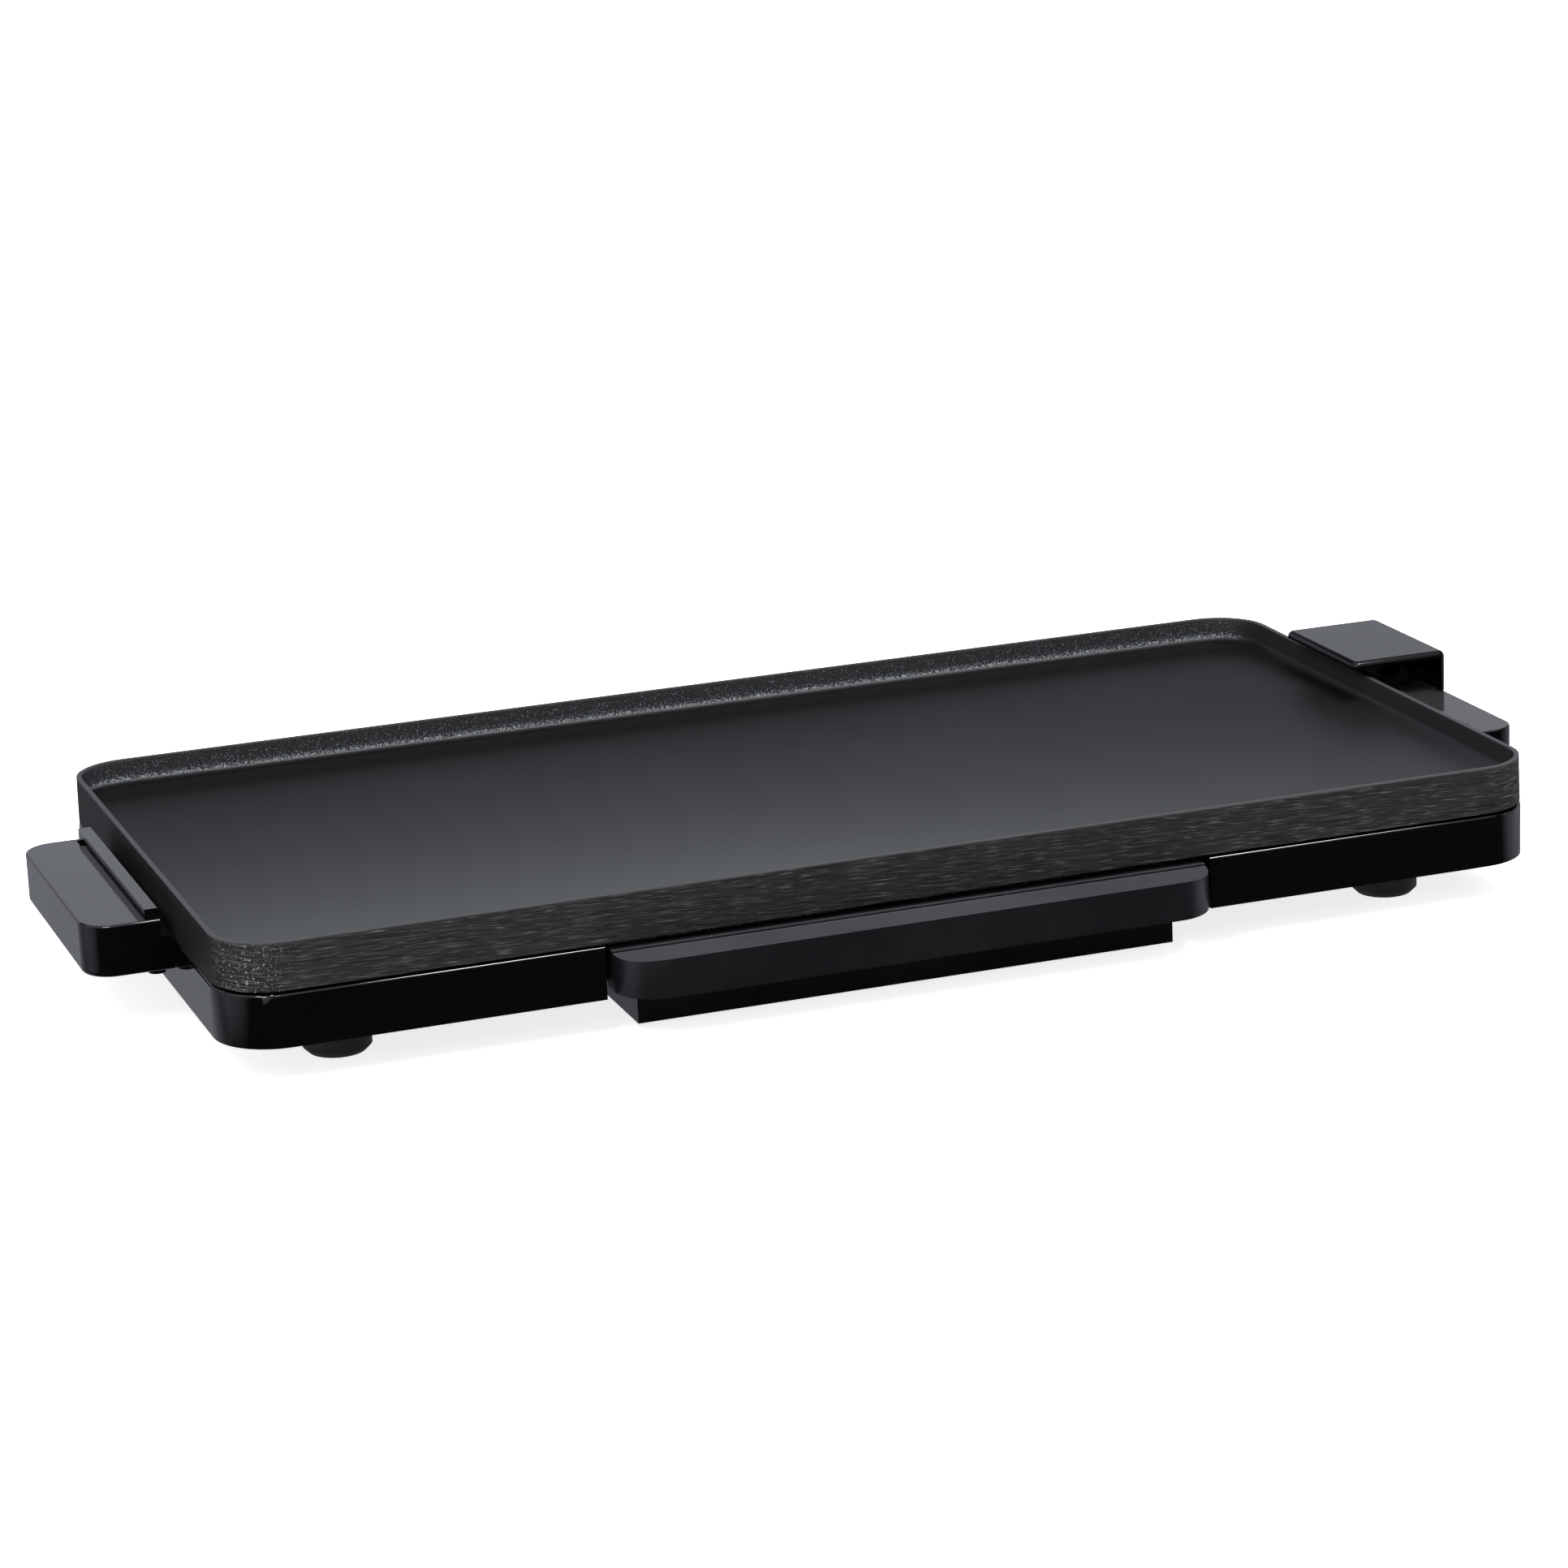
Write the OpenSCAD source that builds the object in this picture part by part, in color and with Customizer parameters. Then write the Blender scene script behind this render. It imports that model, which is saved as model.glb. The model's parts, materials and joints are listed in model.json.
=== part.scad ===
// Electric table-top griddle: a cast non-stick plate that lifts off a moulded base,
// a drip tray that pulls out at the front, and a hooded socket for a plug-in control.
// Each sub-part is drawn about the middle of the seam between plate and base, and
// in_frame() moves it so that the origin is the bottom centre of the whole griddle.

/* [Plate] */
// Length of the plate over its rim
plate_length = 480; // [460:5:500]
// Depth of the plate over its rim, front to back
plate_depth = 250.8; // [246:0.2:262]
// Corner radius of the rim, seen from above
corner_r = 21; // [18:0.5:24]
// Height of the rim above the seam
rim_height = 17.5; // [17.4:0.1:18.2]
// Depth of the cooking well below the rim
well_depth = 9; // [8.8:0.1:9.4]
// Width of the flat top of the rim
rim_width = 1.8; // [1.4:0.1:2.4]
// Radius between the well's wall and its floor
well_fillet = 3.2; // [2.4:0.2:4]
// Thickness of the plate's floor
floor_thickness = 3.2; // [3:0.1:3.4]
// Radius of the drain hole
drain_r = 5; // [4.5:0.5:6]

/* [Heating element] */
// Radius of the element's sheath
element_r = 3.2; // [3:0.1:3.4]
// Distance between the element's long runs
element_pitch = 50; // [48:1:52]

/* [Base] */
// Height of the base's wall
base_height = 18.8; // [18.6:0.1:20]
// Thickness of the base's wall
base_wall = 2.6; // [2.2:0.1:3]
// How far the base stands out past the rim
base_overhang = 0.5; // [0.4:0.1:0.8]
// Height of the feet
foot_height = 15.1; // [14.6:0.1:17]
// Radius of a foot
foot_r = 11.8; // [11:0.1:13]

/* [Handles] */
// Reach of a side handle past the middle of the plate
handle_reach = 271; // [270.5:0.5:274]
// Width of a side handle, front to back
handle_width = 111; // [108:1:112]
// Height of the handle's top above the seam
handle_top = 8.4; // [8.2:0.1:8.6]
// Height of a side handle
handle_height = 18.5; // [18:0.5:19.5]
// Radius of the handle's outer corners, seen from above
handle_corner_r = 11; // [8:0.5:12]

/* [Drip tray] */
// Width of the tray's box
tray_width = 197; // [190:1:197]
// Length of the tray's box, front to back
tray_length = 94; // [90:1:94]
// Height of the tray's box
tray_height = 17.5; // [16:0.5:18]
// Width of the tray's handle
bar_width = 217; // [212:0.5:218]
// Reach of the tray's handle past the base
bar_reach = 15.6; // [14.6:0.2:18]
// Radius of the handle's round ends
bar_end_r = 16; // [12:1:18]

/* [Control socket] */
// Width of the hood, along the griddle's length
hood_width = 39.4; // [39:0.1:39.8]
// Depth of the hood, front to back
hood_depth = 60; // [59.5:0.5:61]
// Height of the hood's top above the seam
hood_top = 24.4; // [24:0.1:25]
// Radius of the probe bore
probe_r = 3.2; // [3:0.1:3.3]
// Radius of a contact pin
pin_r = 2.35; // [2:0.05:2.4]

/* [Hidden] */
$fn = 48;
eps = 0.01;

rim_hx = plate_length / 2;
rim_hy = plate_depth / 2;
plate_bottom = 0.8;
plate_draft = 0.3;
skirt = 3;
floor_top = rim_height - well_depth;
floor_under = floor_top - floor_thickness;
wall_draft = 0.8;

base_hx = rim_hx + base_overhang;
base_hy = rim_hy + base_overhang;
base_r = corner_r + base_overhang;
base_top = -0.2;
base_floor = 2;
base_bottom = -base_height;
inside_floor = base_bottom + base_floor;
ground = base_bottom - foot_height;

// The frame's origin is the bottom centre of the whole griddle.
y_shift = bar_reach / 2;
z_shift = -ground;

// Supports for the plate stand near the corners, the reflector's pillars inside them.
support_x = rim_hx - 15;
support_y = rim_hy - 17;
support_top = -8;
pillar_x = 150;
pillar_y = 88;
pillar_top = -9.5;
foot_x = 195.5;
foot_y = 90;
foot_seat = foot_height - 3.7;

// The tray runs in two rails behind the notch in the base's front wall.
notch_hx = 110.6;
tray_hx = tray_width / 2;
tray_top = -13.5;
tray_bottom = tray_top - tray_height;
tray_front = -119.9;
tray_lip = -4;
tray_back = tray_front + tray_length;
tray_wall = 1.6;
front_wall = 2;
flange = 6.5;
slot_hx = tray_hx + 3.3;
slot_front = -106;
slot_back = tray_back + 2;
jamb = 2.2;
jamb_top = -10.4;
runner_top = tray_top - tray_wall - 0.3;
keeper_bottom = tray_top + 0.3;
rail_ys = [-96, -48];
bar_screw_x = 60;
bar_screw_z = -9;
bar_bottom = -16.3;
bar_top = -2;
bar_front = -base_hy - bar_reach;

// Handle screws pass through the base's end walls.
handle_in = base_hx + 0.3;
handle_bottom = handle_top - handle_height;
handle_screw_y = 35;
handle_screw_z = -5;
handle_mid = 3;

// Control socket: the hood's corner and what stands inside it.
hood_x0 = handle_reach - hood_width;
hood_y0 = 6.3;
hood_y1 = hood_y0 + hood_depth;
hood_z0 = handle_top + 0.4;
hood_wall = 2.4;
cavity_x0 = base_hx + 2.2;
cavity_x1 = handle_reach - hood_wall;
cavity_y1 = hood_y1 - hood_wall;
cavity_top = hood_top - hood_wall;
lip_under = hood_top - 2.8;
cover_front = 24;
cover_t = 1;
block_front = 24.5;
block_t = 6;
socket_z = 15;
probe_x = 256.5;
pin_xs = [248, 265];
pin_front = 14.5;
pin_back = 33;
sleeve_t = 0.8;
sleeve_back = 60;
lug_y0 = 36;
lug_y1 = 63;
lug_x1 = 262.4;
lug_z0 = hood_z0 + cover_t + 0.3;
lug_z1 = 20.8;
neck_top = rim_height - 0.6;
hood_screw_x = 247.5;
hood_screw_ys = [39.5, 46.5];
pocket = [base_hx, 265, 25, 50];
pocket_z = -1;

// The element's runs, from the rear exit round to the front exit.
element_z = 4.4;
rows = [for (i = [0:3]) (1.5 - i) * element_pitch];
bend_r = element_pitch / 2;
left_x = -185;
turn_x = 150;
exit_x = 246;
exit_ys = [44, 30];
jog_r = (rows[0] - exit_ys[0]) / 2;
jog_x = 222;
riser_x = 210;
riser_r = 20;
strap_x = [250.4, 261.4];
strap_t = 1;
wire_r = 1.2;

module in_frame() {
    translate([0, y_shift, z_shift]) children();
}

module box(x0, x1, y0, y1, z0, z1) {
    translate([x0, y0, z0]) cube([x1 - x0, y1 - y0, z1 - z0]);
}

module at_corners(x, y) {
    for (sx = [-1, 1], sy = [-1, 1]) translate([sx * x, sy * y, 0]) children();
}

// Rectangle with round corners, centred, from half sizes.
module round_rect(hx, hy, r) {
    square([2 * hx, 2 * (hy - r)], center = true);
    square([2 * (hx - r), 2 * hy], center = true);
    for (sx = [-1, 1], sy = [-1, 1]) translate([sx * (hx - r), sy * (hy - r)]) circle(r);
}

// Sweeps a profile round a rectangle with round corners: the profile's x is the
// distance outwards from the centre of the corner's arc, its y is the height.
module ring_sweep(hx, hy, r) {
    for (i = [0:3]) {
        sx = i == 0 || i == 3 ? 1 : -1;
        sy = i < 2 ? 1 : -1;
        translate([sx * (hx - r), sy * (hy - r), 0])
            rotate(90 * i) rotate_extrude(angle = 90) children();
    }
    for (s = [0, 180]) rotate(s) {
        translate([hx - r, 0, 0]) rotate([90, 0, 0])
            linear_extrude(2 * (hy - r), center = true) children();
        translate([0, hy - r, 0]) rotate([90, 0, 90])
            linear_extrude(2 * (hx - r), center = true) children();
    }
}

// Block with round corners in plan and a rounded edge round its top and bottom.
module soft_block(hx, hy, z0, z1, r, edge_top, edge_bottom) {
    translate([0, 0, z0]) linear_extrude(z1 - z0)
        square([2 * (hx - r), 2 * (hy - r)], center = true);
    ring_sweep(hx, hy, r) {
        difference() {
            translate([0, z0]) square([r, z1 - z0]);
            if (edge_top > 0)
                translate([r - edge_top, z1 - edge_top]) square(edge_top + 1);
            if (edge_bottom > 0)
                translate([r - edge_bottom, z0 - 1]) square(edge_bottom + 1);
        }
        intersection() {
            translate([0, z0]) square([r, z1 - z0]);
            union() {
                if (edge_top > 0) translate([r - edge_top, z1 - edge_top]) circle(edge_top);
                if (edge_bottom > 0)
                    translate([r - edge_bottom, z0 + edge_bottom]) circle(edge_bottom);
            }
        }
    }
}

// A screw that points along +Z, with its head below z = 0 and a cross recess in it.
module screw(head_r, head_h, shank_r, length) {
    difference() {
        translate([0, 0, -head_h]) cylinder(r = head_r, h = head_h);
        for (a = [0, 90]) rotate(a)
            translate([-head_r * 0.6, -0.35, -head_h - eps]) cube([head_r * 1.2, 0.7, head_h / 2]);
    }
    translate([0, 0, -eps]) cylinder(r = shank_r, h = length + eps);
}

// Ring of a quarter or a half turn in the element's path, flat, of the given width.
module path_arc(centre, r, width, turn, angle) {
    translate(centre) rotate(turn) intersection() {
        difference() {
            circle(r + width / 2, $fn = 96);
            circle(r - width / 2, $fn = 96);
        }
        translate([-2 * r * (angle > 90 ? 1 : 0), 0]) square([2 * r * (angle > 90 ? 2 : 1), 2 * r]);
    }
}

// Each arc: centre, radius, the angle where it starts and the angle it turns through.
function element_arcs() = [
    [[jog_x, exit_ys[0] + jog_r], jog_r, 180, 90],
    [[jog_x - 2 * jog_r, exit_ys[0] + jog_r], jog_r, 0, 90],
    [[left_x, rows[0] - bend_r], bend_r, 90, 180],
    [[turn_x, rows[1] - bend_r], bend_r, 270, 180],
    [[left_x, rows[2] - bend_r], bend_r, 90, 180],
    [[riser_x - riser_r, rows[3] + riser_r], riser_r, 270, 90],
    [[riser_x + riser_r, exit_ys[1] - riser_r], riser_r, 90, 90]];

// Each straight run: its two ends.
function element_runs() = [
    [[exit_x, exit_ys[0]], [jog_x, exit_ys[0]]],
    [[jog_x - 2 * jog_r, rows[0]], [left_x, rows[0]]],
    [[turn_x, rows[1]], [left_x, rows[1]]],
    [[turn_x, rows[2]], [left_x, rows[2]]],
    [[riser_x - riser_r, rows[3]], [left_x, rows[3]]],
    [[riser_x, exit_ys[1] - riser_r], [riser_x, rows[3] + riser_r]],
    [[exit_x, exit_ys[1]], [riser_x + riser_r, exit_ys[1]]]];

// The element's path drawn flat, for the rib that is cast round it.
module element_outline(width) {
    for (a = element_arcs()) path_arc(a[0], a[1], width, a[2], a[3]);
    for (s = element_runs()) {
        low = [min(s[0].x, s[1].x), min(s[0].y, s[1].y)];
        high = [max(s[0].x, s[1].x), max(s[0].y, s[1].y)];
        across = low.x == high.x ? [width / 2, 0] : [0, width / 2];
        translate(low - across) square(high - low + 2 * across);
    }
}

// The element's path as a round bar of radius r.
module element_bar(r) {
    for (a = element_arcs())
        translate([a[0].x, a[0].y, element_z]) rotate(a[2])
            rotate_extrude(angle = a[3]) translate([a[1], 0]) circle(r);
    for (s = element_runs()) {
        along_x = s[0].y == s[1].y;
        translate([s[1].x, s[1].y, element_z])
            rotate(along_x ? [0, 90, 0] : [-90, 0, 0])
                cylinder(r = r, h = along_x ? s[0].x - s[1].x : s[0].y - s[1].y);
    }
}

// ---- plate -----------------------------------------------------------------

// Cross-section of the plate's edge: skirt, wall, rim and the fillet into the floor.
module plate_edge() {
    well_u = corner_r - rim_width - wall_draft;
    difference() {
        polygon([[0, floor_under], [0, floor_top], [well_u - well_fillet, floor_top],
                 [well_u - well_fillet, floor_top + well_fillet],
                 [well_u, floor_top + well_fillet],
                 [corner_r - rim_width, rim_height], [corner_r, rim_height],
                 [corner_r + plate_draft, plate_bottom],
                 [corner_r + plate_draft - skirt, plate_bottom],
                 [corner_r + plate_draft - skirt, floor_under]]);
        translate([well_u - well_fillet, floor_top + well_fillet]) circle(well_fillet);
    }
}

module griddle_plate() {
    color([0.24, 0.26, 0.28]) in_frame() difference() {
        union() {
            ring_sweep(rim_hx, rim_hy, corner_r) plate_edge();
            box(corner_r - rim_hx, rim_hx - corner_r, corner_r - rim_hy, rim_hy - corner_r,
                floor_under, floor_top);
            intersection() {
                translate([0, 0, element_z - element_r])
                    linear_extrude(floor_under + eps - element_z + element_r) element_outline(12);
                box(-rim_hx, rim_hx - 1, -rim_hy, rim_hy, -10, 10);
            }
            at_corners(support_x, support_y)
                translate([0, 0, support_top]) cylinder(r = 7, h = floor_under + eps - support_top);
            translate([0, 20 - rim_hy, -6]) cylinder(r = drain_r + 2.5, h = floor_under + 6 + eps);
            box(rim_hx - 1, cavity_x0 + 1, lug_y0, lug_y1, lug_z0, neck_top);
            box(cavity_x0 + 0.3, lug_x1, lug_y0, lug_y1, lug_z0, lug_z1);
        }
        translate([0, 20 - rim_hy, -7]) cylinder(r = drain_r, h = 20);
        translate([0, 0, element_z - element_r - 1])
            linear_extrude(2 * element_r + 1.1) element_outline(2 * element_r + 0.2);
        translate([probe_x, lug_y0 - 1, socket_z]) rotate([-90, 0, 0])
            cylinder(r = probe_r + sleeve_t + 0.05, h = sleeve_back - lug_y0 + 1.2);
        for (y = hood_screw_ys)
            translate([hood_screw_x, y, lug_z0 - 1]) cylinder(r = 1.6, h = 7);
    }
}

module heating_element() {
    color([0.45, 0.45, 0.44]) in_frame() difference() {
        element_bar(element_r);
        for (y = exit_ys)
            translate([exit_x - 5, y, element_z]) rotate([0, 90, 0])
                cylinder(r = wire_r + 0.05, h = 6);
    }
}

module element_seals() {
    color([0.85, 0.83, 0.78]) in_frame() for (y = exit_ys)
        translate([exit_x, y, element_z]) rotate([0, 90, 0]) difference() {
            cylinder(r = element_r, h = 2.5);
            translate([0, 0, -1]) cylinder(r = wire_r + 0.05, h = 5);
        }
}

module element_terminals() {
    color([0.7, 0.68, 0.62]) in_frame() for (i = [0, 1])
        translate([exit_x - 4.5, exit_ys[i], element_z]) rotate([0, 90, 0])
            cylinder(r = wire_r, h = (i == 0 ? strap_x[1] : strap_x[0]) + strap_t + 0.6 - exit_x + 4.5);
}

// A strap of brass strip from an element terminal up to the tail of a contact pin.
module strap(x, exit_y) {
    difference() {
        union() {
            box(x, x + strap_t, 30.8, exit_y + 2.8, 1.9, 7);
            box(x, x + strap_t, exit_y - 2.8, exit_y + 2.8, 1.9, 7);
            box(x, x + strap_t, 30.8, 33.6, 1.9, 17.6);
        }
        translate([x - 1, exit_y, element_z]) rotate([0, 90, 0])
            cylinder(r = wire_r + 0.03, h = strap_t + 2);
    }
}

module terminal_straps() {
    color([0.78, 0.62, 0.3]) in_frame() {
        strap(strap_x[0], exit_ys[1]);
        strap(strap_x[1], exit_ys[0]);
    }
}

module contact_pins() {
    color([0.75, 0.74, 0.7]) in_frame() for (x = pin_xs)
        translate([x, pin_front, socket_z]) rotate([-90, 0, 0]) {
            cylinder(r1 = pin_r - 0.8, r2 = pin_r, h = 1.2);
            translate([0, 0, 1.2]) cylinder(r = pin_r, h = pin_back - pin_front - 1.2);
        }
}

module probe_sleeve() {
    color([0.7, 0.7, 0.7]) in_frame()
        translate([probe_x, block_front, socket_z]) rotate([-90, 0, 0]) difference() {
            cylinder(r = probe_r + sleeve_t, h = sleeve_back - block_front);
            translate([0, 0, -1]) cylinder(r = probe_r, h = sleeve_back - block_front + 2);
        }
}

module socket_block() {
    color([0.16, 0.15, 0.15]) in_frame() difference() {
        box(cavity_x0 + 0.2, cavity_x1 - 0.2, block_front, block_front + block_t,
            hood_z0 + cover_t, cavity_top - 0.2);
        for (x = pin_xs) translate([x, block_front - 1, socket_z]) rotate([-90, 0, 0])
            cylinder(r = pin_r + 0.05, h = block_t + 2);
        translate([probe_x, block_front - 1, socket_z]) rotate([-90, 0, 0])
            cylinder(r = probe_r + sleeve_t + 0.05, h = block_t + 2);
    }
}

// Spring strip that earths the plug-in control, under the hood's roof.
module earth_contact() {
    color([0.78, 0.62, 0.3]) in_frame() {
        box(probe_x - 2.5, probe_x + 2.5, 13, block_front, cavity_top - 0.8, cavity_top);
        box(probe_x - 2.5, probe_x + 2.5, 16, 19, cavity_top - 1.4, cavity_top - 0.7);
    }
}

module socket_cover() {
    color([0.05, 0.05, 0.05]) in_frame() difference() {
        box(cavity_x0 + 0.2, cavity_x1 - 0.2, cover_front, cavity_y1 - 0.2, hood_z0, hood_z0 + cover_t);
        for (x = strap_x) box(x - 0.3, x + strap_t + 0.3, 30.5, 33.9, 0, 20);
        for (y = hood_screw_ys) translate([hood_screw_x, y, 0]) cylinder(r = 1.7, h = 20);
    }
}

module socket_hood() {
    color([0.03, 0.03, 0.03]) in_frame() difference() {
        translate([(hood_x0 + handle_reach) / 2, (hood_y0 + hood_y1) / 2, 0])
            soft_block(hood_width / 2, hood_depth / 2, hood_z0, hood_top, 3, 2.2, 0);
        box(cavity_x0, cavity_x1, hood_y0 - 5, cavity_y1, hood_z0 - 1, cavity_top);
        box(hood_x0 - 1, base_hx, hood_y0 - 5, hood_y1 + 5, hood_z0 - 1, lip_under);
        box(base_hx - 1, cavity_x0 + 1, lug_y0 - 0.3, lug_y1 + 0.3, hood_z0 - 1, neck_top + 0.3);
    }
}

module hood_screws() {
    color([0.6, 0.6, 0.6]) in_frame() for (y = hood_screw_ys)
        translate([hood_screw_x, y, hood_z0]) screw(2.8, 1, 1.5, 6);
}

// ---- base ------------------------------------------------------------------

module base_edge() {
    difference() {
        translate([base_r - base_wall, base_bottom]) square([base_wall, base_top - base_bottom]);
        translate([base_r - 1, base_top - 1]) square(2);
    }
    translate([base_r - 1, base_top - 1]) circle(1);
    translate([0, base_bottom]) square([base_r - 0.5, base_floor]);
}

module base_housing() {
    color([0.03, 0.03, 0.03]) in_frame() difference() {
        union() {
            ring_sweep(base_hx, base_hy, base_r) base_edge();
            box(base_r - base_hx, base_hx - base_r, base_r - base_hy, base_hy - base_r,
                base_bottom, inside_floor);
            for (s = [-1, 1]) translate([s * (notch_hx + jamb / 2), 0, 0])
                box(-jamb / 2, jamb / 2, base_wall - base_hy - 1, slot_back, base_bottom, jamb_top);
            at_corners(support_x, support_y)
                translate([0, 0, inside_floor - eps]) cylinder(r = 7.5, h = support_top - 3 - inside_floor);
            at_corners(pillar_x, pillar_y)
                translate([0, 0, inside_floor - eps]) cylinder(r = 4.5, h = pillar_top - inside_floor);
            at_corners(foot_x, foot_y)
                translate([0, 0, inside_floor - eps]) cylinder(r = 5, h = 5);
        }
        box(-notch_hx, notch_hx, -base_hy - 1, slot_front, base_bottom - 1, 1);
        box(-slot_hx, slot_hx, slot_front - 1, slot_back, base_bottom - 1, 1);
        for (s = [-1, 1], y = [-handle_screw_y, handle_screw_y])
            translate([s * base_hx, y, handle_screw_z]) rotate([0, 90, 0])
                cylinder(r = 2, h = 4 * base_wall, center = true);
        at_corners(support_x, support_y)
            translate([0, 0, support_top - 8]) cylinder(r = 3, h = 10);
        at_corners(pillar_x, pillar_y)
            translate([0, 0, pillar_top - 6]) cylinder(r = 1.6, h = 8);
        at_corners(foot_x, foot_y)
            translate([0, 0, base_bottom - 1]) cylinder(r = 1.9, h = 12);
        for (s = [-1, 1], y = rail_ys) translate([s * 106.5, y, base_bottom - 1]) {
            cylinder(r = 2.5, h = 2.2);
            cylinder(r = 1.35, h = 5);
        }
        for (s = [-1, 1], x = [60:12:96], y = [10, 62])
            box(s * x - 2, s * x + 2, y, y + 34, base_bottom - 1, inside_floor + 1);
    }
}

module plate_supports() {
    color([0.35, 0.12, 0.08]) in_frame() at_corners(support_x, support_y) {
        translate([0, 0, support_top - 3]) cylinder(r = 7.5, h = 3);
        translate([0, 0, support_top - 7]) cylinder(r = 2.95, h = 4 + eps);
    }
}

module heat_reflector() {
    color([0.75, 0.76, 0.77]) in_frame() difference() {
        union() {
            translate([0, 0, pillar_top]) linear_extrude(0.6) round_rect(212, 98, 8);
            for (s = [-1, 1]) {
                translate([s * 211, 0, pillar_top + 2.5]) cube([0.6, 170, 5], center = true);
                translate([0, s * 97, pillar_top + 2.5]) cube([400, 0.6, 5], center = true);
            }
        }
        at_corners(pillar_x, pillar_y)
            translate([0, 0, pillar_top - 1]) cylinder(r = 1.7, h = 4);
    }
}

module reflector_screws() {
    color([0.6, 0.6, 0.6]) in_frame() at_corners(pillar_x, pillar_y)
        translate([0, 0, pillar_top + 0.6]) mirror([0, 0, 1]) screw(3, 1.8, 1.5, 6);
}

// The left handle. The rib beside the plate runs from rib_y0 to rib_y1.
module handle(rib_y0, rib_y1) {
    half = handle_width / 2;
    y0 = handle_mid - half;
    y1 = handle_mid + half;
    wall = 2.5;
    difference() {
        union() {
            difference() {
                translate([(handle_reach + handle_in) / 2 - 10, handle_mid, 0])
                    soft_block((handle_reach - handle_in) / 2 + 10, half,
                               handle_bottom, handle_top, handle_corner_r, 0.8, 2);
                box(0, handle_in, y0 - 1, y1 + 1, handle_bottom - 1, handle_top + 1);
                difference() {
                    translate([(handle_reach + handle_in) / 2, handle_mid, handle_bottom - 1])
                        linear_extrude(handle_height + 1 - wall)
                            round_rect((handle_reach - handle_in) / 2 - wall, half - wall,
                                       handle_corner_r - wall);
                    for (y = [-handle_screw_y, handle_screw_y])
                        translate([handle_in, y, handle_screw_z]) rotate([0, 90, 0])
                            cylinder(r = 4, h = 12);
                }
            }
            box(handle_in + 4.5, handle_in + 9, rib_y0, rib_y1, handle_top - 1, handle_top + 3.8);
            for (y = [y0 + 7, y1 - 7]) translate([handle_in + 5, y, handle_bottom - 2])
                cylinder(r = 3, h = handle_height - 1);
        }
        box(handle_in + 9, handle_in + 10.4, rib_y0 + 1, rib_y1 - 2, handle_top - 1.2, handle_top + 1);
        box(handle_in - 1, handle_in + 4, y0 - 1, y1 + 1, handle_top - 6, handle_top + 10);
        for (y = [-handle_screw_y, handle_screw_y])
            translate([handle_in - 1, y, handle_screw_z]) rotate([0, 90, 0])
                cylinder(r = 1.7, h = 11);
    }
    box(handle_in, handle_in + wall + 3, y0 + 2, y1 - 2, handle_top - 8, handle_top - 6 + eps);
}

module left_handle() {
    color([0.03, 0.03, 0.03]) in_frame() mirror([1, 0, 0]) handle(-51.5, 58);
}

// The right handle has a pocket under the hood for the element's terminals.
module right_handle() {
    color([0.03, 0.03, 0.03]) in_frame() difference() {
        union() {
            handle(-51.5, 3);
            box(handle_in, pocket[1] + 2, pocket[2] - 2, pocket[3] + 1.5, pocket_z - 2, handle_top - 1.5);
        }
        box(pocket[0] - 1, pocket[1], pocket[2], pocket[3], pocket_z, handle_top + 5);
    }
}

module handle_screws() {
    color([0.6, 0.6, 0.6]) in_frame() for (s = [0, 1], y = [-handle_screw_y, handle_screw_y])
        mirror([s, 0, 0]) translate([base_hx - base_wall, y, handle_screw_z])
            rotate([0, 90, 0]) screw(3.6, 2, 1.6, 11);
}

// A rail: runner below the tray's flange, web beside it, keeper above it.
module tray_rail() {
    difference() {
        union() {
            box(slot_hx, notch_hx - 0.2, slot_front + 1, slot_back - 3, inside_floor, runner_top);
            box(notch_hx - 2.6, notch_hx - 0.2, slot_front + 1, slot_back - 3, inside_floor, jamb_top);
            box(tray_hx + 4.4, notch_hx - 0.2, slot_front + 1, slot_back - 3,
                keeper_bottom, jamb_top);
        }
        for (y = rail_ys) translate([106.5, y, inside_floor - 1]) cylinder(r = 1.35, h = 2.2);
    }
}

module tray_rail_left() {
    color([0.1, 0.1, 0.1]) in_frame() mirror([1, 0, 0]) tray_rail();
}

module tray_rail_right() {
    color([0.1, 0.1, 0.1]) in_frame() tray_rail();
}

module rail_screws() {
    color([0.6, 0.6, 0.6]) in_frame() for (s = [-1, 1], y = rail_ys)
        translate([s * 106.5, y, base_bottom + 1.2]) screw(2.3, 1, 1.25, 1.6);
}

module foot(sx, sy) {
    color([0.06, 0.06, 0.06]) in_frame() translate([sx * foot_x, sy * foot_y, ground])
        rotate_extrude() polygon([[4.5, 0], [foot_r - 2, 0], [foot_r, 2], [foot_r, foot_height],
                                  [1.9, foot_height], [1.9, foot_seat], [4.5, foot_seat]]);
}

module foot_front_left() { foot(-1, -1); }
module foot_front_right() { foot(1, -1); }
module foot_rear_left() { foot(-1, 1); }
module foot_rear_right() { foot(1, 1); }

module foot_screws() {
    color([0.6, 0.6, 0.6]) in_frame() at_corners(foot_x, foot_y)
        translate([0, 0, ground + foot_seat]) screw(3.8, 2.2, 1.75, 9);
}

// ---- drip tray -------------------------------------------------------------

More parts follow.
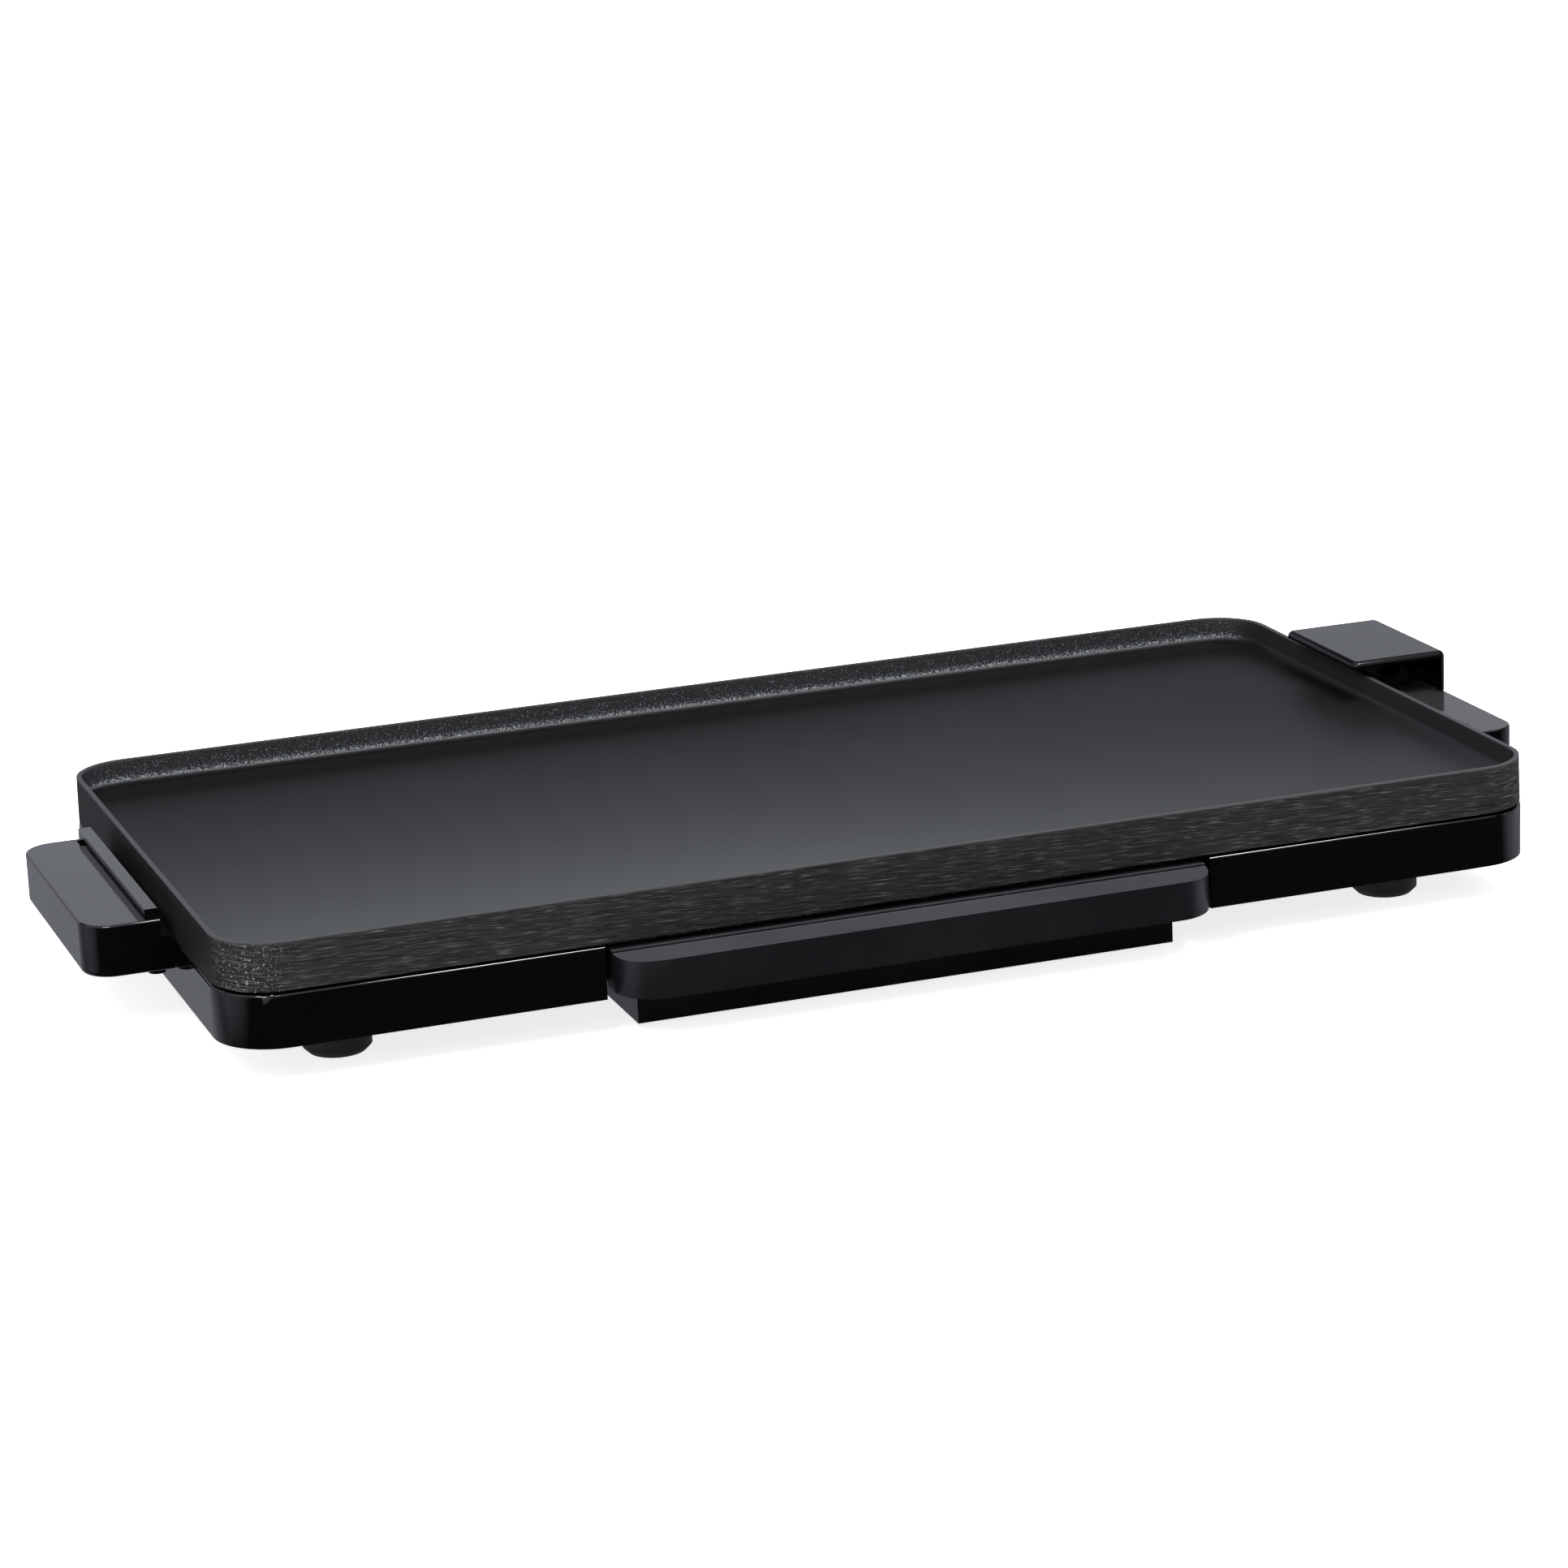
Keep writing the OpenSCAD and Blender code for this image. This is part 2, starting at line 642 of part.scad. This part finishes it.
module drip_tray() {
    color([0.05, 0.05, 0.05]) in_frame() difference() {
        union() {
            box(-tray_hx, tray_hx, tray_front, tray_back, tray_bottom, tray_top);
            box(-tray_hx, tray_hx, tray_front, tray_front + front_wall, tray_bottom, tray_lip);
            box(-tray_hx - flange, tray_hx + flange, slot_front - 12, tray_back,
                tray_top - tray_wall, tray_top);
        }
        box(-tray_hx + tray_wall, tray_hx - tray_wall, tray_front + front_wall,
            tray_back - tray_wall, tray_bottom + tray_wall, tray_top + 1);
        for (s = [-1, 1]) translate([s * bar_screw_x, tray_front - 1, bar_screw_z])
            rotate([-90, 0, 0]) cylinder(r = 1.65, h = front_wall + 2);
    }
}

// The tray's handle: a bar with round ends, a flat strip behind and a shallow dish
// along its top, hollow underneath for the fingers.
module drip_tray_handle() {
    half = bar_width / 2;
    strip = -126.6;
    dish_r = 46;
    color([0.08, 0.09, 0.1]) in_frame() difference() {
        translate([0, 0, bar_bottom]) linear_extrude(bar_top - bar_bottom) {
            translate([-half, bar_front + bar_end_r])
                square([bar_width, tray_front - bar_front - bar_end_r]);
            translate([bar_end_r - half, bar_front]) square([bar_width - 2 * bar_end_r, bar_end_r + 1]);
            for (s = [-1, 1]) intersection() {
                translate([s * (half - bar_end_r), bar_front + bar_end_r])
                    circle(bar_end_r, $fn = 96);
                translate([-half, bar_front]) square([bar_width, tray_front - bar_front]);
            }
        }
        intersection() {
            translate([0, (strip + bar_front) / 2, bar_top + dish_r - 1.3]) rotate([0, 90, 0])
                cylinder(r = dish_r, h = bar_width + 10, center = true, $fn = 200);
            box(-half - 1, half + 1, bar_front - 1, strip, bar_top - 5, bar_top + 1);
        }
        box(-half + 22, half - 22, bar_front + 3, -129, bar_bottom - 1, bar_bottom + 9);
        for (s = [-1, 1]) translate([s * bar_screw_x, tray_front + 1, bar_screw_z])
            rotate([90, 0, 0]) cylinder(r = 1.55, h = 10);
    }
}

module tray_handle_screws() {
    color([0.6, 0.6, 0.6]) in_frame() for (s = [-1, 1])
        translate([s * bar_screw_x, tray_front + front_wall, bar_screw_z])
            rotate([90, 0, 0]) screw(2.8, 1.6, 1.5, 9);
}

griddle_plate();
heating_element();
element_seals();
element_terminals();
terminal_straps();
contact_pins();
probe_sleeve();
socket_block();
earth_contact();
socket_cover();
socket_hood();
hood_screws();
base_housing();
plate_supports();
heat_reflector();
reflector_screws();
left_handle();
right_handle();
handle_screws();
tray_rail_left();
tray_rail_right();
rail_screws();
foot_front_left();
foot_front_right();
foot_rear_left();
foot_rear_right();
foot_screws();
drip_tray();
drip_tray_handle();
tray_handle_screws();
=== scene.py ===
"""Looks of the table-top griddle: materials, rounded edges and a studio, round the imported
CAD frame."""
import json
import math

import bpy
from mathutils import Matrix, Vector


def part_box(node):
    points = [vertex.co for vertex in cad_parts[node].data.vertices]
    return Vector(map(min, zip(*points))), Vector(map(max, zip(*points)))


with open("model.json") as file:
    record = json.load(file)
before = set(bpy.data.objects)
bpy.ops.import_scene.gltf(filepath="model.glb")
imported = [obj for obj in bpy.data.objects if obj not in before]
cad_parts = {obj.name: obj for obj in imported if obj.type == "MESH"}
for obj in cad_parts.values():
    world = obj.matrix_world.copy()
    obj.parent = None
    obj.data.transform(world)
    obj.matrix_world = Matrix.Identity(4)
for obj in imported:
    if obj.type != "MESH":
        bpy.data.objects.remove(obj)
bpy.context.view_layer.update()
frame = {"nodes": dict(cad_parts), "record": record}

MM = 0.001
base_low, base_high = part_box("base_housing")
plate_low, plate_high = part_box("griddle_plate")
middle = (base_low + base_high) / 2
seam_z = base_high.z + 0.2 * MM
well_z = seam_z + 8.5 * MM
rim_z = seam_z + 17.5 * MM
# the plate's outer walls lean out by this much from the rim down to their foot
draft = 0.3 * MM
rim_corner = 21 * MM
# half of the straight stretch of the rim's front and of its ends
straight_x = middle.x - plate_low.x - draft - rim_corner
straight_y = (plate_high.y - plate_low.y) / 2 - draft - rim_corner
plate_length = 2 * (straight_x + rim_corner)


# ---- node trees --------------------------------------------------------------------

class Tree:
    """Short names for building a node tree."""

    def __init__(self, tree):
        self.tree = tree

    def link(self, a, b):
        self.tree.links.new(a, b)

    def add(self, kind, inputs=None, **settings):
        node = self.tree.nodes.new(kind)
        for key, value in settings.items():
            setattr(node, key, value)
        for key, value in (inputs or {}).items():
            if isinstance(value, bpy.types.NodeSocket):
                self.link(value, node.inputs[key])
            else:
                node.inputs[key].default_value = value
        return node

    def ramp(self, value, low, high, out_low=0.0, out_high=1.0, kind="LINEAR"):
        inputs = {"Value": value, "From Min": low, "From Max": high,
                  "To Min": out_low, "To Max": out_high}
        return self.add("ShaderNodeMapRange", inputs, interpolation_type=kind).outputs["Result"]

    def math(self, operation, a, b=0.0):
        return self.add("ShaderNodeMath", {0: a, 1: b}, operation=operation).outputs[0]

    def axes(self, vector):
        node = self.add("ShaderNodeSeparateXYZ", {0: vector})
        return node.outputs[0], node.outputs[1], node.outputs[2]

    def scaled(self, parts, factors):
        """A vector made of three parts, each times its own factor."""
        x, y, z = (self.math("MULTIPLY", part, factor) for part, factor in zip(parts, factors))
        return self.add("ShaderNodeCombineXYZ", {0: x, 1: y, 2: z}).outputs[0]


class Nodes(Tree):
    """One material's node tree, with its shader and object coordinates."""

    def __init__(self, name, **shader):
        self.material = bpy.data.materials.new(name)
        self.material.use_nodes = True
        super().__init__(self.material.node_tree)
        self.shader = self.tree.nodes["Principled BSDF"]
        for socket, value in shader.items():
            self.shader.inputs[socket.replace("_", " ")].default_value = value
        coords = self.tree.nodes.new("ShaderNodeTexCoord")
        self.place = coords.outputs["Object"]
        self.normal = coords.outputs["Normal"]

    def stretch(self, scale):
        return self.add("ShaderNodeMapping", {"Vector": self.place, "Scale": scale}).outputs[0]

    def noise(self, scale, detail=3, rough=0.6, vector=None):
        node = self.add("ShaderNodeTexNoise", {"Vector": vector or self.place, "Scale": scale,
                                               "Detail": detail, "Roughness": rough})
        return node.outputs["Fac"]

    def mix(self, factor, a, b):
        node = self.add("ShaderNodeMix", {"Factor": factor}, data_type="RGBA")
        for key, value in ((6, a), (7, b)):
            if isinstance(value, bpy.types.NodeSocket):
                self.link(value, node.inputs[key])
            else:
                node.inputs[key].default_value = (*value, 1)
        return node.outputs[2]

    def upward(self, most=1.0):
        """0 on walls, `most` on level top faces: the mask for top faces painted paler as light.
        """
        return self.ramp(self.axes(self.normal)[2], 0.7, 0.95, 0.0, most)

    def colour(self, value):
        self.link(value, self.shader.inputs["Base Color"])

    def roughness(self, value):
        self.link(value, self.shader.inputs["Roughness"])

    def bump(self, height, strength, distance):
        node = self.add("ShaderNodeBump", {"Height": height, "Strength": strength,
                                           "Distance": distance})
        self.link(node.outputs[0], self.shader.inputs["Normal"])


# ---- camera ------------------------------------------------------------------------

def make_camera():
    """The photograph's view: from the front left and a little above, slightly rolled."""
    azimuth, elevation, roll = (math.radians(a) for a in (-19.084, 15.746, -2.501))
    lens, sensor_width = 110.09, 36
    distance = 3.721 * plate_length
    target = Vector((middle.x + 0.0234 * plate_length, middle.y + 0.0762 * plate_length,
                     seam_z - 1.05 * MM))
    forward = Vector((-math.sin(azimuth) * math.cos(elevation),
                      math.cos(azimuth) * math.cos(elevation), -math.sin(elevation)))
    right = forward.cross(Vector((0, 0, 1))).normalized()
    up = right.cross(forward)
    c, s = math.cos(roll), math.sin(roll)
    right, up = c * right + s * up, c * up - s * right
    data = bpy.data.cameras.new("camera")
    data.lens, data.sensor_width = lens, sensor_width
    data.clip_start, data.clip_end = 0.05, 60
    camera = bpy.data.objects.new("camera", data)
    turn = Matrix((right, up, -forward)).transposed().to_4x4()
    camera.matrix_world = Matrix.Translation(target - forward * distance) @ turn
    bpy.context.scene.collection.objects.link(camera)
    bpy.context.scene.camera = camera


# ---- studio ------------------------------------------------------------------------

def add_lamp(data, name, toward):
    """Link a lamp that shines along the direction `toward`."""
    lamp = bpy.data.objects.new(name, data)
    lamp.rotation_euler = toward.to_track_quat("-Z", "Y").to_euler()
    bpy.context.scene.collection.objects.link(lamp)
    return lamp


def area_light(name, place, aim, size, power):
    data = bpy.data.lights.new(name, "AREA")
    data.shape = "RECTANGLE"
    data.size, data.size_y = size
    data.energy = power
    add_lamp(data, name, Vector(aim) - Vector(place)).location = place


def make_lamps():
    """A very soft sun, a key lamp near the front left corner, and a panel overhead at the
    front right, which shows as thin bright lines on the rounded front edges."""
    sun = bpy.data.lights.new("sun", "SUN")
    sun.energy, sun.angle = 2.2, math.radians(120)
    add_lamp(sun, "sun", Vector((0.25, 0.3, -1)))
    area_light("key", place=(-0.55, -0.62, 0.75), aim=(-0.15, -0.05, 0.04),
               size=(0.35, 0.35), power=7)
    area_light("edge", place=(0.42, -0.46, 1.25), aim=(middle.x, middle.y, 0),
               size=(0.7, 0.3), power=30)


def make_world():
    """A surround that is pale behind the griddle, to either side and overhead, and dark on
    the camera's side. The pale part behind is a band that fades at the table and higher up."""
    world = bpy.data.worlds.new("studio")
    bpy.context.scene.world = world
    world.use_nodes = True
    n = Tree(world.node_tree)
    x, y, z = n.axes(n.add("ShaderNodeTexCoord").outputs["Generated"])
    smooth = "SMOOTHSTEP"
    band = n.ramp(y, 0.0, 0.8, 0.012, 0.77, smooth)
    band = n.math("MULTIPLY", band, n.ramp(z, -0.02, 0.27, 0.50, 1.0, smooth))
    band = n.math("MULTIPLY", band, n.ramp(z, 0.31, 0.50, 1.0, 0.10, smooth))
    sides = n.ramp(n.math("ABSOLUTE", x), 0.78, 1.0, 0.0, 0.7, smooth)
    overhead = n.ramp(z, 0.6, 0.95, 0.0, 0.4, smooth)
    sky = n.tree.nodes["Background"]
    sky.inputs["Color"].default_value = (0.86, 0.90, 1.0, 1)
    n.link(n.math("ADD", n.math("ADD", band, sides), overhead), sky.inputs["Strength"])


def floor_material():
    n = Nodes("floor", Roughness=0.85, Specular_IOR_Level=0.1, Emission_Strength=0.8,
              Emission_Color=(1, 1, 1, 1))
    n.colour(n.mix(n.noise(3), (0.90, 0.905, 0.91), (0.93, 0.93, 0.93)))
    return n.material


def make_floor():
    """A white floor that lights the griddle softly but isn't mirrored in its gloss."""
    reach = 12
    mesh = bpy.data.meshes.new("floor")
    mesh.from_pydata([(-reach, -reach, 0), (reach, -reach, 0), (reach, reach, 0),
                      (-reach, reach, 0)], [], [(0, 1, 2, 3)])
    floor = bpy.data.objects.new("floor", mesh)
    bpy.context.scene.collection.objects.link(floor)
    floor.data.materials.append(floor_material())
    floor.visible_glossy = False


# ---- materials ---------------------------------------------------------------------

def gloss_black(name="gloss_black", shine=0.40, painted_top_sheen=0.0):
    """Piano-black moulding with faint orange peel, dust-fine scratches and finger smears.
    The third argument colours level top faces paler, as a painted sheen."""
    n = Nodes(name, Specular_IOR_Level=shine)
    smear = n.noise(14, 4)
    fine = n.noise(900, 2)
    tint = n.mix(smear, (0.0007, 0.0007, 0.0009), (0.0013, 0.0013, 0.0016))
    # painted sheen: level top faces mixed towards white by the third argument
    n.colour(n.mix(n.upward(painted_top_sheen), tint, (1.0, 1.0, 1.0)))
    scratches = n.ramp(fine, 0.3, 0.7, 0, 0.02)
    n.roughness(n.math("ADD", n.ramp(smear, 0.35, 0.7, 0.055, 0.10), scratches))
    n.bump(n.noise(160, 2), 0.02, 0.3 * MM)
    return n.material


def satin_black():
    """Spark-eroded moulding texture: fine grains, with light dust."""
    n = Nodes("satin_black", Specular_IOR_Level=0.55)
    cloud = n.noise(22, 3)
    tint = (0.0030, 0.0033, 0.0046)
    n.colour(n.mix(cloud, tint, tuple(1.5 * t for t in tint)))
    n.roughness(n.ramp(cloud, 0.3, 0.7, 0.30, 0.42))
    n.bump(n.noise(1700, 2, 0.7), 0.22, 0.12 * MM)
    return n.material


def bar_black():
    """Satin moulding of the tray's bar, with painted light: the level top is coloured paler."""
    n = Nodes("bar_black", Specular_IOR_Level=0.5)
    cloud = n.noise(26, 3)
    tint = n.mix(cloud, (0.0018, 0.0020, 0.0028), (0.0030, 0.0033, 0.0044))
    # painted light: level top faces coloured about ten times paler than the sides
    top = n.mix(cloud, (0.023, 0.024, 0.028), (0.028, 0.029, 0.033))
    n.colour(n.mix(n.upward(), tint, top))
    n.roughness(n.ramp(cloud, 0.3, 0.7, 0.28, 0.38))
    n.bump(n.noise(1500, 2, 0.7), 0.15, 0.1 * MM)
    return n.material


def tray_enamel():
    """Smooth dark enamel, with painted light: level faces are coloured paler."""
    n = Nodes("tray_enamel", Specular_IOR_Level=0.25)
    cloud = n.noise(30, 3)
    tint = n.mix(cloud, (0.0015, 0.0015, 0.0016), (0.0028, 0.0028, 0.0030))
    # painted light: level faces mixed to a paler colour
    n.colour(n.mix(n.upward(), tint, (0.045, 0.045, 0.050)))
    n.roughness(n.ramp(cloud, 0.3, 0.7, 0.24, 0.38))
    n.bump(n.noise(700, 2), 0.08, 0.1 * MM)
    return n.material


def rim_distance(n, x, y):
    """Distance from the rectangle between the centres of the rim's corner arcs, which is
    `rim_corner` all along the rim, and how far the point is past that rectangle's ends."""
    past_x = n.math("MAXIMUM", n.math("SUBTRACT", n.math("ABSOLUTE", x), straight_x), 0.0)
    past_y = n.math("MAXIMUM", n.math("SUBTRACT", n.math("ABSOLUTE", y), straight_y), 0.0)
    squares = n.math("ADD", n.math("MULTIPLY", past_x, past_x),
                     n.math("MULTIPLY", past_y, past_y))
    return n.math("SQRT", squares), past_x


def turned_wall(n, x, y, slant, past_x, lines):
    """Colour of the front wall: dark, with short pale dashes that slant a little, which are
    turning marks painted bright as glints, more of them towards both front corners as painted
    sparkle, and bright grains on the front left corner as painted highlights."""
    # painted glints: the pale dashes are turning marks coloured bright as glints
    dashes = n.noise(1.0, 1, 0.5, n.scaled((x, y, slant), (120.0, 120.0, 3000.0)))
    level = n.math("ADD", dashes, n.math("MULTIPLY", n.noise(60, 2), 0.09))
    level = n.math("ADD", level, n.math("MULTIPLY", n.ramp(lines, 0.4, 0.7), 0.05))
    # painted sparkle: more pale dashes towards the front corners
    corner = n.ramp(past_x, 1 * MM, 9 * MM)
    level = n.math("ADD", level, n.math("MULTIPLY", corner, 0.03))
    wall = n.mix(n.ramp(lines, 0.35, 0.68), (0.0052, 0.0046, 0.0044), (0.015, 0.0140, 0.0135))
    wall = n.mix(n.ramp(level, 0.64, 0.86), wall, (0.062, 0.059, 0.057))
    # painted highlight: bright grains on the front left corner stand for light sparkling there
    grains = n.ramp(n.noise(1300, 2, 0.8), 0.60, 0.72)
    grains = n.math("MULTIPLY", grains, n.ramp(x, -214 * MM, -228 * MM))
    return n.mix(grains, wall, (0.22, 0.22, 0.23))


def nonstick():
    """Sprayed non-stick coating: satin floor, blasted inner walls, streaked front wall. The
    floor's colour carries painted light and shade, the walls painted glints and the rim's crown
    a painted highlight.
    """
    n = Nodes("nonstick", Specular_IOR_Level=0.10)
    x, y, z = n.axes(n.place)
    y = n.math("SUBTRACT", y, middle.y)
    distance, past_x = rim_distance(n, x, y)
    outer = n.ramp(distance, rim_corner - 0.35 * MM, rim_corner - 0.15 * MM)
    inner = n.math("MULTIPLY", n.ramp(z, well_z + 0.9 * MM, well_z + 1.9 * MM),
                   n.math("SUBTRACT", 1.0, outer))
    front = n.math("MULTIPLY", outer, n.ramp(y, -104 * MM, -118 * MM))
    rear = n.math("MULTIPLY", inner, n.ramp(y, 112 * MM, 118 * MM))
    cloud = n.noise(9, 3)
    speckle = n.noise(1500, 2, 0.7)
    # a height that climbs 3 mm for every 100 mm along, so that the wall's lines slant
    slant = n.math("ADD", z, n.math("MULTIPLY", x, 0.03))
    lines = n.noise(1.0, 3, 0.6, n.scaled((x, y, slant), (40.0, 40.0, 1900.0)))
    # The floor's tone follows the photograph: palest at the front left, darkest along the
    # rear. The lamps alone give only part of that, so the rest of it is in the colour.
    # painted light and shade: 1 at the front left, falling towards the rear and the right
    painted_light_falloff = n.ramp(y, 112 * MM, -90 * MM)
    painted_light_falloff = n.math("MULTIPLY", n.math("MULTIPLY", painted_light_falloff, painted_light_falloff),
                  n.ramp(x, -40 * MM, 235 * MM, 1.0, 0.35))
    walls = n.math("MULTIPLY", n.math("MAXIMUM", inner, outer), 0.42)
    coat = n.mix(cloud, (0.0250, 0.0265, 0.0290), (0.0300, 0.0318, 0.0345))
    # painted shade: where the fall-off is low the floor's colour goes near-black; the walls
    # keep at least 0.42 of their colour
    coat = n.mix(n.math("MAXIMUM", painted_light_falloff, walls), (0.0012, 0.0013, 0.0015), coat)
    coat = n.mix(n.ramp(speckle, 0.70, 0.76), coat, (0.035, 0.037, 0.040))
    # painted glints: bright specks on the rear wall's blasted grain, thickest along its foot
    foot = n.ramp(z, well_z + 4.5 * MM, well_z + 1.0 * MM)
    grit_glints = n.math("ADD", n.noise(1600, 2, 0.8), n.math("MULTIPLY", foot, 0.17))
    grit_glints = n.math("MULTIPLY", rear, n.ramp(grit_glints, 0.60, 0.74))
    coat = n.mix(grit_glints, coat, (0.17, 0.18, 0.195))
    coat = n.mix(outer, coat, (0.0060, 0.0060, 0.0063))
    coat = n.mix(front, coat, turned_wall(n, x, y, slant, past_x, lines))
    # painted highlight: the rim's crown is coloured paler than the faces on either side of it
    painted_crown_highlight = n.ramp(z, rim_z - 0.7 * MM, rim_z - 0.1 * MM)
    n.colour(n.mix(painted_crown_highlight, coat, (0.030, 0.031, 0.033)))
    n.roughness(n.math("ADD", n.ramp(cloud, 0.3, 0.7, 0.42, 0.47),
                       n.math("MULTIPLY", outer, 0.08)))
    n.bump(n.math("ADD", speckle, n.math("MULTIPLY", front, lines)), 0.2, 0.08 * MM)
    return n.material


def metal(name, colour, rough, streak=(60, 60, 900)):
    """Bare metal with fine lines, squeezed along each axis by `streak`."""
    n = Nodes(name, Metallic=1.0)
    lines = n.noise(1.0, 2, vector=n.stretch(streak))
    n.colour(n.mix(n.noise(40, 3), tuple(0.7 * c for c in colour), colour))
    n.roughness(n.ramp(lines, 0.3, 0.7, rough - 0.08, rough + 0.08))
    n.bump(lines, 0.12, 0.05 * MM)
    return n.material


def plain(name, colour, rough, grain=600, strength=0.2):
    """Unpolished ceramic, plastic or rubber with a fine grain."""
    n = Nodes(name, Specular_IOR_Level=0.4)
    cloud = n.noise(35, 3)
    n.colour(n.mix(cloud, tuple(0.75 * c for c in colour), colour))
    n.roughness(n.ramp(cloud, 0.3, 0.7, rough - 0.07, rough + 0.07))
    n.bump(n.noise(grain, 2), strength, 0.1 * MM)
    return n.material


MATERIALS = {
    "bar_black": bar_black(),
    "nonstick": nonstick(),
    "gloss_black": gloss_black(),
    "hood_black": gloss_black("hood_black", 0.17),
    # right handle: a painted sheen on its level top faces
    "handle_black": gloss_black("handle_black", 0.15, 0.016),
    "satin_black": satin_black(),
    "tray_enamel": tray_enamel(),
    "sheath_steel": metal("sheath_steel", (0.30, 0.28, 0.26), 0.45),
    "zinc_steel": metal("zinc_steel", (0.62, 0.62, 0.60), 0.32),
    "brass": metal("brass", (0.72, 0.52, 0.22), 0.30),
    "reflector": metal("reflector", (0.74, 0.75, 0.76), 0.28, (900, 30, 60)),
    "ceramic": plain("ceramic", (0.75, 0.73, 0.66), 0.7),
    "phenolic": plain("phenolic", (0.012, 0.011, 0.010), 0.5),
    # painted shade: near-black metal for the contact pins and probe sleeve, which sit in the
    # recess's shade
    "painted_shade_contact": metal("painted_shade_contact", (0.02, 0.02, 0.02), 0.5),
    "rubber": plain("rubber", (0.014, 0.014, 0.014), 0.65, 900, 0.3),
    "silicone": plain("silicone", (0.22, 0.045, 0.03), 0.55),
}

# nodes whose finish differs from the rest of their material slot; the contact pins and probe
# sleeve are coloured near-black as painted shade, the tray's bar has a painted paler top and
# the right handle's top a painted sheen
OWN_FINISH = {"contact_pins": "painted_shade_contact", "probe_sleeve": "painted_shade_contact",
              "drip_tray_handle": "bar_black", "socket_hood": "hood_black",
              "right_handle": "handle_black"}

ROUNDED = ("griddle_plate", "base_housing", "left_handle", "right_handle", "socket_hood",
           "drip_tray", "drip_tray_handle")


def dress_cad_nodes():
    slots = {s["node"]: s["material_slot"] for s in frame["record"]["subparts"]}
    for name, node in frame["nodes"].items():
        node.data.materials.clear()
        node.data.materials.append(MATERIALS[OWN_FINISH.get(name, slots[name])])


def round_edges():
    """Join the faces of the pieces that show most, and round their sharp edges."""
    for name in ROUNDED:
        modifiers = frame["nodes"][name].modifiers
        modifiers.new("weld", "WELD").merge_threshold = 0.001 * MM
        edge = modifiers.new("edge", "BEVEL")
        edge.width, edge.segments = 0.6 * MM, 3
        edge.limit_method, edge.angle_limit = "ANGLE", math.radians(50)


bpy.context.scene.view_settings.view_transform = "Standard"
make_camera()
make_world()
make_lamps()
make_floor()
dress_cad_nodes()
round_edges()
